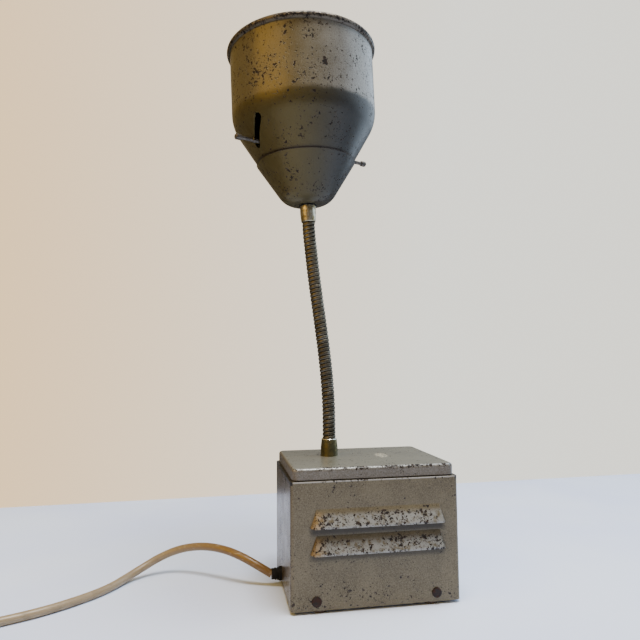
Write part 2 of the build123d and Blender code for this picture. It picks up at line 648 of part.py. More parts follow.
hose_length(Vector(0, 0, 114.6), pivots[0], False, True, "neck_hose_foot")
for k in range(PIVOTS - 1):
    hose_length(pivots[k], pivots[k + 1], True, True, f"neck_hose_{k + 1:02d}")
hose_length(pivots[-1], HEAD.origin - HEAD_UP * 3.2, True, False, "neck_hose_tip")

# ---- head fixings -----------------------------------------------------------------------------
with BuildPart() as neck_top_ferrule:
    add(turned(HEAD, [
        (HOSE_R + 0.05, -16.0), (6.45, -16.0), (6.8, -15.4), (7.4, -8.0), (7.4, -0.8), (NIPPLE_R, -0.8),
        (NIPPLE_R, 11.5), (NIPPLE_R - 0.5, 12.0), (NIPPLE_BORE, 12.0), (NIPPLE_BORE, -3.1),
        (HOSE_R + 0.05, -3.1),
    ]))
neck_top_ferrule.part.label = "neck_top_ferrule"
export_step(neck_top_ferrule.part, "parts/neck_top_ferrule.step")

with BuildPart() as cup_washer:
    add(ring(HEAD, NIPPLE_R + 0.1, 8.2, -0.8, 0.0))
cup_washer.part.label = "cup_washer"
export_step(cup_washer.part, "parts/cup_washer.step")

head_nut = hex_nut(HEAD, NIPPLE_R, 16.0, CUP_T, CUP_T + 5.0)
head_nut.label = "head_nut"
export_step(head_nut, "parts/head_nut.step")

# ---- head cup: flat bottom, rounded shoulder, straight flare --------------------------------


def cup_face(depth):
    """Points of the cup's outline at a depth inside it: hole, both ends of the bend and its corner, lip."""
    bend, lean = CUP_BEND - depth, math.radians(CUP_LEAN)
    return [
        (NIPPLE_R + 0.1, depth),
        (CUP_FLAT, depth),
        (CUP_FLAT + bend * math.tan(lean / 2), depth),
        (CUP_FLAT + bend * math.sin(lean), CUP_BEND - bend * math.cos(lean)),
        (CUP_R - depth * math.sin(lean), CUP_TOP + depth * math.cos(lean)),
    ]


with BuildPart() as head_cup:
    with BuildSketch(section_plane(HEAD)):
        with BuildLine():
            outside, inside = cup_face(0), cup_face(CUP_T)
            for hole, start, corner, end, lip in (outside, inside):
                Line(hole, start)
                Bezier(start, corner, end)
                Line(end, lip)
            Line(outside[0], inside[0])
            Line(outside[-1], inside[-1])
        make_face()
    revolve(axis=Axis(HEAD.origin, HEAD.z_dir))
head_cup.part.label = "head_cup"
export_step(head_cup.part, "parts/head_cup.step")

# ---- head shell: cone, rounded shoulder, cylinder and rolled rim, with two helical slots ------


def cone_r(height):
    """Outer radius of the straight cone at a height."""
    return CONE_R + CONE_SLOPE * (height - CONE_H)


SLOT_MIDDLE = (SLOT_LOW + SLOT_HIGH) / 2


def slot_point(height):
    """A point of the slot's middle line, seen square to the middle of the slot."""
    turn = math.radians(HELIX * (height - SLOT_MIDDLE))
    return Vector(cone_r(height) * math.sin(turn), height - SLOT_MIDDLE)


def shell_face(depth):
    """Points of the shell's outline at a depth inside it: foot and end of the cone, corner, cylinder."""
    slant = depth * math.hypot(CONE_SLOPE, 1)
    corner = CONE_H + (SHADE_R - depth - CONE_R + slant) / CONE_SLOPE
    return [
        (cone_r(SHELL_LOW) - slant, SHELL_LOW),
        (cone_r(SHOULDER_FROM) - slant, SHOULDER_FROM),
        (SHADE_R - depth, corner),
        (SHADE_R - depth, SHOULDER_TO),
        (SHADE_R - depth, BEAD_H - BEAD_R + 0.5),
    ]


with BuildPart() as head_shell:
    with BuildSketch(section_plane(HEAD)):
        with BuildLine():
            outside, inside = shell_face(0), shell_face(SHELL_T)
            for foot, start, corner, end, rim in (outside, inside):
                Line(foot, start)
                Bezier(start, corner, end)
                Line(end, rim)
            Line(outside[0], inside[0])
            Line(outside[-1], inside[-1])
        make_face()
    with BuildSketch(section_plane(HEAD)):
        with Locations((SHADE_R - 0.2, BEAD_H)):
            Circle(BEAD_R)
    revolve(axis=Axis(HEAD.origin, HEAD.z_dir))
    for start_angle in (PIN_AZIMUTH, PIN_AZIMUTH + 180):
        angle = start_angle + HELIX * (SLOT_MIDDLE - PIN_H)
        outward = HEAD.x_dir * math.cos(math.radians(angle)) + HEAD.y_dir * math.sin(math.radians(angle))
        middle = HEAD.origin + HEAD.z_dir * SLOT_MIDDLE
        face = Plane(origin=middle, x_dir=HEAD.z_dir.cross(outward), z_dir=outward)
        with BuildSketch(face.offset(SHADE_R)):
            ends = [slot_point(height) for height in (SLOT_LOW, SLOT_MIDDLE, SLOT_HIGH)]
            SlotArc(Edge.make_three_point_arc(*ends), 2 * SLOT_R)
        extrude(amount=-SHADE_R / 2, mode=Mode.SUBTRACT)
head_shell.part.label = "head_shell"
export_step(head_shell.part, "parts/head_shell.step")

# ---- reflector on three brackets, held by a spring ring ----------------------------------------


def dish_h(radius):
    """Height of the reflector's parabola at a radius."""
    return REFLECTOR_VERTEX + radius ** 2 / (4 * REFLECTOR_FOCUS)


DISH_IN, DISH_OUT, DISH_T = 20.0, 62.0, 0.8
with BuildPart() as reflector:
    with BuildSketch(section_plane(HEAD)):
        with BuildLine():
            ThreePointArc(
                (DISH_IN, dish_h(DISH_IN)), (43.0, dish_h(43.0)), (DISH_OUT, dish_h(DISH_OUT)))
            Line((DISH_OUT, dish_h(DISH_OUT)), (66.2, dish_h(DISH_OUT)))
            offset(amount=DISH_T, side=Side.RIGHT)
        make_face()
    revolve(axis=Axis(HEAD.origin, HEAD.z_dir))
reflector.part.label = "reflector"
export_step(reflector.part, "parts/reflector.step")

SHELF_TOP = dish_h(DISH_OUT) - DISH_T
with BuildPart() as reflector_brackets:
    for k in range(3):
        spoke = math.radians(90 + 120 * k)
        outward = HEAD.x_dir * math.cos(spoke) + HEAD.y_dir * math.sin(spoke)
        with BuildSketch(Plane(origin=HEAD.origin, x_dir=outward, z_dir=outward.cross(HEAD.z_dir))):
            with BuildLine():
                Polyline(
                    (63.8, SHELF_TOP), (66.2, SHELF_TOP), (66.2, SHELF_TOP - 9),
                    (65.2, SHELF_TOP - 9), (65.2, SHELF_TOP - 1), (63.8, SHELF_TOP - 1), close=True)
            make_face()
        extrude(amount=5, both=True)
reflector_brackets.part.label = "reflector_brackets"
export_step(reflector_brackets.part, "parts/reflector_brackets.step")

with BuildPart() as reflector_ring:
    with BuildSketch(section_plane(HEAD)):
        with Locations((65.6, dish_h(DISH_OUT) + 0.85)):
            Circle(0.8)
    revolve(axis=Axis(HEAD.origin, HEAD.z_dir), revolution_arc=348)
reflector_ring.part.label = "reflector_ring"
export_step(reflector_ring.part, "parts/reflector_ring.step")

# ---- focusing mechanism: guide tube, sliding carriage, turning ring with two pins ---------------
with BuildPart() as guide_tube:
    add(ring(HEAD, NIPPLE_R, GUIDE_R, CUP_T + 5.0, 70.0))
guide_tube.part.label = "guide_tube"
export_step(guide_tube.part, "parts/guide_tube.step")

RING_LOW, RING_HIGH = PIN_H - 5.0, PIN_H + 5.0
with BuildPart() as focus_carriage:
    add(turned(HEAD, [
        (GUIDE_R + 0.08, RING_LOW - 5), (SLEEVE_R, RING_LOW - 5), (SLEEVE_R, RING_LOW - 2.6),
        (14.0, RING_LOW - 2.6), (14.0, RING_LOW - 0.05), (SLEEVE_R, RING_LOW - 0.05),
        (SLEEVE_R, RING_HIGH + 0.05), (14.0, RING_HIGH + 0.05), (14.0, RING_HIGH + 2.6),
        (SLEEVE_R, RING_HIGH + 2.6), (SLEEVE_R, 76.0), (NIPPLE_BORE, 76.0), (NIPPLE_BORE, 72.5),
        (GUIDE_R + 0.08, 72.5),
    ]))
focus_carriage.part.label = "focus_carriage"
export_step(focus_carriage.part, "parts/focus_carriage.step")

ROD_R, KNOB_R, PIN_ROOT, PIN_TIP = 1.7, 2.6, 12.6, 74.5
ROD_END, KNOB_FROM = 68.8, 68.85


def pin_plane(angle):
    """The plane across a pin's axis, at the head's own axis."""
    a = math.radians(angle)
    outward = HEAD.x_dir * math.cos(a) + HEAD.y_dir * math.sin(a)
    return Plane(origin=HEAD.origin + HEAD.z_dir * PIN_H, x_dir=HEAD.z_dir, z_dir=outward)


with BuildPart() as focus_ring:
    add(ring(HEAD, SLEEVE_R + 0.06, 15.5, RING_LOW, RING_HIGH))
    for angle in (PIN_AZIMUTH, PIN_AZIMUTH + 180):
        with BuildSketch(pin_plane(angle).offset(PIN_ROOT)):
            Circle(ROD_R)
        extrude(amount=5, mode=Mode.SUBTRACT)
focus_ring.part.label = "focus_ring"
export_step(focus_ring.part, "parts/focus_ring.step")

with BuildPart() as focus_pins:
    for angle in (PIN_AZIMUTH, PIN_AZIMUTH + 180):
        add(turned(pin_plane(angle), [
            (0, PIN_ROOT), (ROD_R, PIN_ROOT), (ROD_R, 54.5), (2.2, 54.8), (2.2, 57.0), (ROD_R, 57.3),
            (ROD_R, ROD_END), (0, ROD_END),
        ]))
focus_pins.part.label = "focus_pins"
export_step(focus_pins.part, "parts/focus_pins.step")

with BuildPart() as pin_knobs:
    for angle in (PIN_AZIMUTH, PIN_AZIMUTH + 180):
        add(turned(pin_plane(angle), [
            (0, KNOB_FROM), (KNOB_R - 0.3, KNOB_FROM), (KNOB_R, KNOB_FROM + 0.4), (KNOB_R, PIN_TIP - 0.8),
            (KNOB_R - 0.8, PIN_TIP), (0, PIN_TIP),
        ]))
pin_knobs.part.label = "pin_knobs"
export_step(pin_knobs.part, "parts/pin_knobs.step")

# ---- lampholder and lamp, on the carriage ---------------------------------------------------------
HOLDER_LOW, CAP_LOW, CAP_HIGH = 76.0, 84.0, 101.0
with BuildPart() as lampholder:
    add(turned(HEAD, [
        (NIPPLE_BORE, HOLDER_LOW), (11.0, HOLDER_LOW), (11.0, HOLDER_LOW + 2.5), (9.0, HOLDER_LOW + 3),
        (9.0, 94.0), (9.6, 94.0), (9.6, 95.5), (7.7, 95.5), (7.7, HOLDER_LOW + 3),
        (NIPPLE_BORE, HOLDER_LOW + 3),
    ]))
lampholder.part.label = "lampholder"
export_step(lampholder.part, "parts/lampholder.step")

with BuildPart() as bulb_cap:
    add(turned(HEAD, [
        (0, CAP_LOW - 1), (2.0, CAP_LOW - 1), (2.6, CAP_LOW), (7.6, CAP_LOW + 0.5), (7.6, CAP_HIGH),
        (7.0, CAP_HIGH), (7.0, CAP_HIGH - 2), (0, CAP_HIGH - 2),
    ]))
bulb_cap.part.label = "bulb_cap"
export_step(bulb_cap.part, "parts/bulb_cap.step")

GLOBE_R, GLOBE_H, GLASS_T, BULB_NECK_R = 13.0, 113.0, 0.7, 6.95
with BuildPart() as bulb_glass:
    with BuildSketch(section_plane(HEAD)):
        with BuildLine():
            inner_r, inner_neck_r = GLOBE_R - GLASS_T, BULB_NECK_R - GLASS_T
            neck_end = (BULB_NECK_R, GLOBE_H - math.sqrt(GLOBE_R ** 2 - BULB_NECK_R ** 2))
            inner_end = (inner_neck_r, GLOBE_H - math.sqrt(inner_r ** 2 - inner_neck_r ** 2))
            Line((BULB_NECK_R, CAP_HIGH - 1.8), neck_end)
            ThreePointArc(neck_end, (GLOBE_R, GLOBE_H), (0, GLOBE_H + GLOBE_R))
            Line((0, GLOBE_H + GLOBE_R), (0, GLOBE_H + inner_r))
            ThreePointArc((0, GLOBE_H + inner_r), (inner_r, GLOBE_H), inner_end)
            Polyline(inner_end, (inner_neck_r, CAP_HIGH - 1.8), (BULB_NECK_R, CAP_HIGH - 1.8))
        make_face()
    revolve(axis=Axis(HEAD.origin, HEAD.z_dir))
bulb_glass.part.label = "bulb_glass"
export_step(bulb_glass.part, "parts/bulb_glass.step")

FILAMENT_H = REFLECTOR_VERTEX + REFLECTOR_FOCUS
with BuildPart() as bulb_filament:
    add(turned(HEAD, [(0, CAP_HIGH - 2), (2.6, CAP_HIGH - 2), (1.4, 104.5), (0, 104.5)]))
    for side in (-1, 1):
        post = Plane(origin=HEAD.origin + HEAD.x_dir * 3 * side, x_dir=HEAD.x_dir, z_dir=HEAD.z_dir)
        with BuildSketch(post.offset(104.0)):
            Circle(0.35)
        extrude(amount=FILAMENT_H - 104.0)
    with BuildSketch(HEAD.offset(103.6)):
        Rectangle(6.7, 0.7)
    extrude(amount=0.7)
    coil_end = HEAD.origin + HEAD.z_dir * FILAMENT_H - HEAD.x_dir * 3.35
    with BuildSketch(Plane(origin=coil_end, z_dir=HEAD.x_dir)):
        Circle(0.7)
    extrude(amount=6.7)
bulb_filament.part.label = "bulb_filament"
export_step(bulb_filament.part, "parts/bulb_filament.step")
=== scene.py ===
import bpy
import json
import math
from mathutils import Matrix, Vector

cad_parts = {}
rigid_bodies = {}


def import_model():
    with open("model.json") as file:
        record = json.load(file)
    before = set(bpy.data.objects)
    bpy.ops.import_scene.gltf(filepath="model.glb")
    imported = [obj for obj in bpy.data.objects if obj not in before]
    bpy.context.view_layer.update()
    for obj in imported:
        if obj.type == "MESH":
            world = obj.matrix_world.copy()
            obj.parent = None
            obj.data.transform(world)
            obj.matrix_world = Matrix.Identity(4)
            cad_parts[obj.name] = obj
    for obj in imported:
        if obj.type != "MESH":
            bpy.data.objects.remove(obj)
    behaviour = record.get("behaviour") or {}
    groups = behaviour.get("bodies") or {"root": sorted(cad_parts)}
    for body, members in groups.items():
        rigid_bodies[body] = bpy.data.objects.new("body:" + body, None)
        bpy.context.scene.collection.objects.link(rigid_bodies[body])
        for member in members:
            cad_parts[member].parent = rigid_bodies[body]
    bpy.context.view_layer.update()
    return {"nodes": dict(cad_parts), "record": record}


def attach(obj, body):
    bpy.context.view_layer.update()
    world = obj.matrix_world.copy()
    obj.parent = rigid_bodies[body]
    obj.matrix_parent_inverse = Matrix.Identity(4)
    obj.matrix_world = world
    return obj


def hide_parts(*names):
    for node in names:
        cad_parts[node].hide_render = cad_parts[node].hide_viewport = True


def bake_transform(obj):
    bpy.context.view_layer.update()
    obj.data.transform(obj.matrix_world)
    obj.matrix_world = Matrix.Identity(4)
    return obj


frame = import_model()

MM = 0.001

# ---- camera -------------------------------------------------------------------------------


def make_camera():
    """The photograph's viewpoint: a little above the lid, left of the box, looking slightly up."""
    data = bpy.data.cameras.new("camera")
    data.lens = 32.625
    data.sensor_width = 36.0
    camera = bpy.data.objects.new("camera", data)
    bpy.context.scene.collection.objects.link(camera)
    camera.location = (-0.10088, -0.52867, 0.19487)
    forward = Vector((0.1734, 0.98186, 0.07674))
    up = Vector((-0.00497, -0.07705, 0.99701))
    right = forward.cross(up).normalized()
    up = right.cross(forward).normalized()
    camera.rotation_euler = Matrix((right, up, -forward.normalized())).transposed().to_euler()
    bpy.context.scene.camera = camera


make_camera()

# ---- mesh helpers --------------------------------------------------------------------------


def add_mesh(name, vertices, faces, smooth=True):
    """A mesh object at the origin, its place in its vertices."""
    mesh = bpy.data.meshes.new(name)
    mesh.from_pydata([tuple(v) for v in vertices], [], faces)
    mesh.validate()
    mesh.update()
    for polygon in mesh.polygons:
        polygon.use_smooth = smooth
    piece = bpy.data.objects.new(name, mesh)
    bpy.context.scene.collection.objects.link(piece)
    return piece


def grid_faces(rows, columns, closed, keep=None):
    """Quads between the points of a rows by columns grid, row after row."""
    faces = []
    for i in range(rows - 1):
        for j in range(columns if closed else columns - 1):
            if keep is None or keep(i, j):
                k = (j + 1) % columns
                faces.append((i * columns + j, i * columns + k, (i + 1) * columns + k, (i + 1) * columns + j))
    return faces


def smoothstep(low, high, value):
    """0 before low, 1 after high, smooth between."""
    t = min(max((value - low) / (high - low), 0.0), 1.0)
    return t * t * (3 - 2 * t)


# ---- mains cord ----------------------------------------------------------------------------

CORD_D = 7 * MM
CORD_ROUTE = [
    (-53.0, 1.5, 10.2),
    (-65.0, 3.5, 17.5),
    (-79.0, 11.0, 24.0),
    (-94.0, 23.0, 27.5),
    (-113.0, 37.0, 27.5),
    (-134.0, 49.0, 23.0),
    (-153.0, 50.5, 16.0),
    (-169.0, 44.5, 8.5),
    (-182.0, 32.5, 4.2),
    (-192.0, 14.0, 3.6),
    (-207.0, -4.0, 3.6),
    (-235.0, -27.0, 3.6),
    (-268.0, -42.5, 3.6),
    (-298.0, -59.0, 3.6),
]
TAIL_ROUTE = [(-284.0, -140.5, 16.3), (-267.6, -140.5, 12.5), (-254.0, -140.2, 9.0), (-241.0, -141.5, 7.2),
              (-234.0, -141.5, 7.2)]
COIL_CENTRE = (-297.2, -104.0)
COIL_START, COIL_TURNS = 112.0, 5.44
TURN_POINTS = 16
# radius and height of each lane of the coil, and the turn at which the cord has left the one before
LANES = ((43.5, 3.6), (36.5, 3.6), (29.5, 3.6), (33.0, 9.9), (40.0, 9.9), (36.5, 16.1))
LANE_CHANGES = (0.95, 1.95, 2.70, 3.95, 4.70)
CHANGE = 0.2


def coil_point(turn):
    """Centre of the cord after a number of turns: its lane, or on the way into the next."""
    radius, height = LANES[0]
    for (next_radius, next_height), end in zip(LANES[1:], LANE_CHANGES):
        step = smoothstep(end - CHANGE, end, turn)
        lift = smoothstep(end - CHANGE * 1.2, end - CHANGE * 0.3, turn)
        radius += (next_radius - radius) * step
        height += (next_height - height) * lift
    radius /= math.cos(math.pi / TURN_POINTS)
    angle = math.radians(COIL_START) + turn * 2 * math.pi
    return (COIL_CENTRE[0] + radius * math.cos(angle), COIL_CENTRE[1] + radius * math.sin(angle), height)


def make_cord():
    """The whole mains cord on one line: out of the gland, over the table, round the coil, to the plug."""
    steps = round(COIL_TURNS * TURN_POINTS)
    coil = [coil_point(COIL_TURNS * k / steps) for k in range(steps + 1)]
    points = CORD_ROUTE + coil + TAIL_ROUTE
    curve = bpy.data.curves.new("mains_lead", "CURVE")
    curve.dimensions = "3D"
    spline = curve.splines.new("NURBS")
    spline.points.add(len(points) - 1)
    for control, (x, y, z) in zip(spline.points, points):
        control.co = (x * MM, y * MM, z * MM, 1)
        control.radius = MM
    spline.order_u = 3
    spline.use_endpoint_u = True
    curve.resolution_u = 6
    curve.bevel_depth = CORD_D / 2 / MM
    curve.bevel_resolution = 6
    curve.use_fill_caps = True
    piece = bpy.data.objects.new("mains_lead", curve)
    bpy.context.scene.collection.objects.link(piece)
    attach(piece, "base")
    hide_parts("mains_cord", "mains_cord_tail", "cord_coil")
    return piece


mains_lead = make_cord()

# ---- tie round the coil ----------------------------------------------------------------------


TIE_ANGLE = -8.0
# corners of the tie's path round the cord's turns: distance from the coil's centre, and height
TIE_CORNERS = [(24.6, 0.5), (24.6, 6.5), (27.6, 12.2), (31.6, 19.4),
               (41.4, 19.4), (45.4, 12.2), (48.4, 6.5), (48.4, 0.5)]


def make_coil_tie():
    """A hook-and-loop strap round the turns of the coil."""
    outline = []
    count = len(TIE_CORNERS)
    for k in range(count):
        before, here, after = TIE_CORNERS[k - 1], TIE_CORNERS[k], TIE_CORNERS[(k + 1) % count]
        for step in range(7):
            t = step / 6
            start = [(b + h) / 2 for b, h in zip(before, here)]
            end = [(h + a) / 2 for h, a in zip(here, after)]
            outline.append([(1 - t) ** 2 * s + 2 * t * (1 - t) * h + t * t * e
                            for s, h, e in zip(start, here, end)])
    centre = [sum(p[i] for p in outline) / len(outline) for i in (0, 1)]
    angle = math.radians(TIE_ANGLE)
    outward = Vector((math.cos(angle), math.sin(angle), 0))
    along = Vector((-math.sin(angle), math.cos(angle), 0))
    vertices, columns = [], len(outline)
    section = [(-5.0, 0.0), (-4.6, 0.45), (4.6, 0.45), (5.0, 0.0), (4.6, -0.45), (-4.6, -0.45)]
    for shift, thick in section:
        for r, z in outline:
            away = Vector((r - centre[0], z - centre[1])).normalized()
            r_out, z_out = r + away.x * thick, max(z + away.y * thick, 0.06)
            place = Vector((COIL_CENTRE[0], COIL_CENTRE[1], z_out)) + outward * r_out + along * shift
            vertices.append(place * MM)
    faces = []
    rows = len(section)
    for i in range(rows):
        for j in range(columns):
            k = (j + 1) % columns
            a, b = i * columns, (i + 1) % rows * columns
            faces.append((a + j, b + j, b + k, a + k))
    piece = add_mesh("coil_tie", vertices, faces)
    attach(piece, "base")
    return piece


coil_tie = make_coil_tie()

# ---- flexible hose ---------------------------------------------------------------------------

HOSE_R, HOSE_BORE, RIB_PITCH, RIB_DEPTH = 6.0, 2.2, 3.65, 0.85
PIVOT_Z, LINK = 137.525, 20.05
HOSE_LOW, HOSE_HIGH = 124.5, 332.0
SWAY_X, SWAY_FROM, SWAY_TO = -17.7, 145, 345     # the hose's S: how far it leans, and between which heights
# the shade leans: the foot of its axis, and how the axis runs
HEAD_X, HEAD_Z = -18.3, 344.0
HEAD_COS, HEAD_SIN = 0.99932, 0.036975


def hose_x(z):
    """How far the hose's middle leans left at a height: upright, over in an S, and in line with the shade."""
    shade_line = HEAD_X + (HEAD_Z - z) * 0.037
    near_shade = smoothstep(300, 326, z)
    return SWAY_X * smoothstep(SWAY_FROM, SWAY_TO, z) * (1 - near_shade) + shade_line * near_shade


def rib_radius(turns):
    """Radius of the wound strip: a rounded ridge with a narrow groove between turns."""
    phase = abs(2 * (turns % 1.0) - 1)
    return HOSE_R - RIB_DEPTH * phase ** 3.2


def hose_ring(z, radius_at, columns):
    """A ring of points square to the hose's line at a height."""
    tangent = Vector((hose_x(z + 0.5) - hose_x(z - 0.5), 0, 1)).normalized()
    across = Vector((tangent.z, 0, -tangent.x))
    middle = Vector((hose_x(z), 0, z))
    ring = []
    for j in range(columns):
        angle = 2 * math.pi * j / columns
        radius = radius_at(z, angle)
        ring.append((middle + (across * math.cos(angle) + Vector((0, 1, 0)) * math.sin(angle)) * radius) * MM)
    return ring


def make_hose():
    """The hose in ten pieces from middle to middle of its lengths, each spanning one pivot."""
    columns = 36
    for k in range(10):
        low = HOSE_LOW if k == 0 else PIVOT_Z + LINK * (k - 0.5)
        high = HOSE_HIGH if k == 9 else PIVOT_Z + LINK * (k + 0.5)
        rows = max(round((high - low) / 0.36), 2)
        inner_rows = 12
        rings = [hose_ring(low + (high - low) * i / rows,
                           lambda z, angle: rib_radius(z / RIB_PITCH - angle / (2 * math.pi)), columns)
                 for i in range(rows + 1)]
        rings += [hose_ring(high - (high - low) * i / inner_rows, lambda z, angle: HOSE_BORE, columns)
                  for i in range(inner_rows + 1)]
        rings.append(rings[0])
        vertices = [v for ring in rings[:-1] for v in ring]
        faces = grid_faces(len(rings) - 1, columns, closed=True)
        last = (len(rings) - 2) * columns
        for j in range(columns):
            i = (j + 1) % columns
            faces.append((last + j, last + i, i, j))
        piece = add_mesh(f"hose_bend_{k + 1:02d}", vertices, faces)
        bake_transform(piece)
        if k == 0:
            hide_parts("neck_hose_foot", "neck_hose_01")
        elif k == 9:
            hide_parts("neck_hose_tip")
        else:
            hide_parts(f"neck_hose_{k + 1:02d}")


make_hose()

# ---- materials -------------------------------------------------------------------------------


class Shader:
    """One procedural material, built node by node. Places on the object are in millimetres."""

    def __init__(self, name, **sockets):
        self.material = bpy.data.materials.new(name)
        self.material.use_nodes = True
        self.tree = self.material.node_tree
        self.surface = self.tree.nodes["Principled BSDF"]
        for socket, value in sockets.items():
            self.surface.inputs[socket.replace("_", " ")].default_value = value
        coordinates = self.tree.nodes.new("ShaderNodeTexCoord")
        self.place = self.vector("SCALE", coordinates.outputs["Object"], 1000.0)
        self.x, self.y, self.z = self.split(self.place)

    def plug(self, socket, value):
        """Links value to a socket, or sets it there if it is plain."""
        if isinstance(value, bpy.types.NodeSocket):
            self.tree.links.new(value, socket)
        elif value is not None:
            colour = isinstance(value, tuple) and socket.type == "RGBA"
            socket.default_value = (*value, 1.0) if colour else value

    def vector(self, operation, first, second):
        node = self.tree.nodes.new("ShaderNodeVectorMath")
        node.operation = operation
        self.plug(node.inputs[0], first)
        self.plug(node.inputs["Scale"] if operation == "SCALE" else node.inputs[1], second)
        return node.outputs[0]

    def split(self, vector):
        node = self.tree.nodes.new("ShaderNodeSeparateXYZ")
        self.plug(node.inputs[0], vector)
        return node.outputs

    def math(self, operation, first, second=None):
        node = self.tree.nodes.new("ShaderNodeMath")
        node.operation = operation
        self.plug(node.inputs[0], first)
        self.plug(node.inputs[1], second)
        return node.outputs[0]

    def step(self, value, low, high):
        """0 where value is below low and 1 above high, smooth between; low may be the larger."""
        node = self.tree.nodes.new("ShaderNodeMapRange")
        node.interpolation_type = "SMOOTHSTEP"
        self.plug(node.inputs["Value"], value)
        flip = low > high
        self.plug(node.inputs["From Min"], min(low, high))
        self.plug(node.inputs["From Max"], max(low, high))
        self.plug(node.inputs["To Min"], 1.0 if flip else 0.0)
        self.plug(node.inputs["To Max"], 0.0 if flip else 1.0)
        return node.outputs[0]

    def noise(self, size, detail=2.0, stretch=(1, 1, 1), seed=0.0, roughness=0.5):
        """Cloudy noise with features of about size millimetres, longer along the stretched axes."""
        node = self.tree.nodes.new("ShaderNodeTexNoise")
        node.inputs["Scale"].default_value = 1.0
        node.inputs["Detail"].default_value = detail
        node.inputs["Roughness"].default_value = roughness
        scaled = self.vector("MULTIPLY", self.place, tuple(1 / (size * s) for s in stretch))
        self.plug(node.inputs["Vector"], self.vector("ADD", scaled, (seed, seed * 1.7, seed * 0.6)))
        return node.outputs["Fac"]

    def cells(self, size, feature="F1", seed=0.0):
        """Distance to the nearest of a cloud of points about size millimetres apart."""
        node = self.tree.nodes.new("ShaderNodeTexVoronoi")
        node.feature = feature
        node.inputs["Scale"].default_value = 1.0
        scaled = self.vector("SCALE", self.place, 1 / size)
        self.plug(node.inputs["Vector"], self.vector("ADD", scaled, (seed, -seed, seed * 2)))
        return node.outputs["Distance"]

    def mix(self, factor, first, second):
        node = self.tree.nodes.new("ShaderNodeMix")
        node.data_type = "RGBA"
        self.plug(node.inputs[0], factor)
        self.plug(node.inputs[6], first)
        self.plug(node.inputs[7], second)
        return node.outputs[2]

    def blend(self, factor, first, second):
        """A number between two, or two sockets."""
        node = self.tree.nodes.new("ShaderNodeMix")
        self.plug(node.inputs[0], factor)
        self.plug(node.inputs[2], first)
        self.plug(node.inputs[3], second)
        return node.outputs[0]

    def finish(self, colour=None, roughness=None, height=None, metallic=None):
        """Links what varies over the surface; height is in millimetres."""
        self.plug(self.surface.inputs["Base Color"], colour)
        self.plug(self.surface.inputs["Roughness"], roughness)
        self.plug(self.surface.inputs["Metallic"], metallic)
        if height is not None:
            bump = self.tree.nodes.new("ShaderNodeBump")
            bump.inputs["Strength"].default_value = 1.0
            bump.inputs["Distance"].default_value = MM
            self.plug(bump.inputs["Height"], height)
            self.tree.links.new(bump.outputs[0], self.surface.inputs["Normal"])
        return self.material


def mottled(name, low, high, size, roughness=(0.35, 0.5), depth=0.02, stretch=(1, 1, 1), **sockets):
    """A plain material whose colour, gloss and surface vary in patches of one size."""
    shader = Shader(name, **sockets)
    broad = shader.noise(size, 3.0, stretch)
    fine = shader.noise(size / 7, 2.0, stretch, seed=3.1)
    both = shader.math("ADD", shader.math("MULTIPLY", broad, 0.6), shader.math("MULTIPLY", fine, 0.4))
    patch = shader.step(both, 0.38, 0.62)
    return shader.finish(shader.mix(patch, low, high), shader.blend(patch, *roughness),
                         shader.math("MULTIPLY", fine, depth))


RUST_DARK, RUST_RED = (0.009, 0.007, 0.006), (0.024, 0.014, 0.009)


def chipped_paint(name, shades, wear, density, tints_and_painted_light=None, coat=0.35):
    """Hammered metallic enamel: small dents, dirt in patches, and chips through to nearly black rust.

    wear(shader) gives how worn each place is, from 0 to 1; the optional second function tints the paint and
    paints light and shade.
    """
    shader = Shader(name, Coat_Weight=coat, Coat_Roughness=0.22, Specular_IOR_Level=0.2)
    dents = shader.cells(1.9, "SMOOTH_F1")
    speckle = shader.noise(0.9, 2.0, seed=5.0)
    drift = shader.noise(24.0, 3.0, seed=1.0)
    shade = shader.mix(shader.step(drift, 0.32, 0.68), shades[0], shades[1])
    shade = shader.mix(shader.math("MULTIPLY", shader.step(speckle, 0.5, 0.68), 0.45), shade, shades[2])
    shade = shader.mix(shader.math("MULTIPLY", shader.step(speckle, 0.44, 0.3), 0.55), shade, shades[3])
    # tints, together with painted light and shade, go into the colour here
    if tints_and_painted_light:
        shade = tints_and_painted_light(shader, shade)
    worn = wear(shader)
    crowd = shader.noise(17.0, 2.0, seed=9.0)
    lift = shader.math("ADD", shader.math("MULTIPLY", shader.math("SUBTRACT", crowd, 0.5), 0.26),
                       shader.math("MULTIPLY", worn, 0.115))
    large = shader.math("ADD", shader.noise(3.7, 3.0, seed=2.0, roughness=0.60), lift)
    middle = shader.math("ADD", shader.noise(2.1, 2.0, seed=15.0, roughness=0.6), lift)
    small = shader.math("ADD", shader.noise(1.15, 2.0, seed=7.0, roughness=0.6), lift)
    chip = shader.math("MAXIMUM", shader.step(large, 0.694 - density, 0.712 - density),
                       shader.math("MAXIMUM", shader.step(middle, 0.703 - density, 0.723 - density),
                                   shader.step(small, 0.722 - density, 0.752 - density)))
    halo = shader.math("MULTIPLY", shader.step(large, 0.635 - density, 0.70 - density), 0.38)
    rust = shader.mix(shader.step(shader.noise(1.8, 3.0, seed=4.0), 0.45, 0.62), RUST_DARK, RUST_RED)
    colour = shader.mix(chip, shader.mix(halo, shade, (0.080, 0.060, 0.042)), rust)
    height = shader.math("SUBTRACT", shader.math("MULTIPLY", dents, 0.050),
                         shader.math("MULTIPLY", chip, 0.12))
    rough = shader.blend(chip, shader.blend(shader.step(drift, 0.3, 0.7), 0.31, 0.42), 0.88)
    return shader.finish(colour, rough, height, shader.blend(chip, 0.35, 0.0))


CASE_SHADES = ((0.094, 0.076, 0.044), (0.122, 0.101, 0.061), (0.186, 0.160, 0.106), (0.043, 0.033, 0.018))
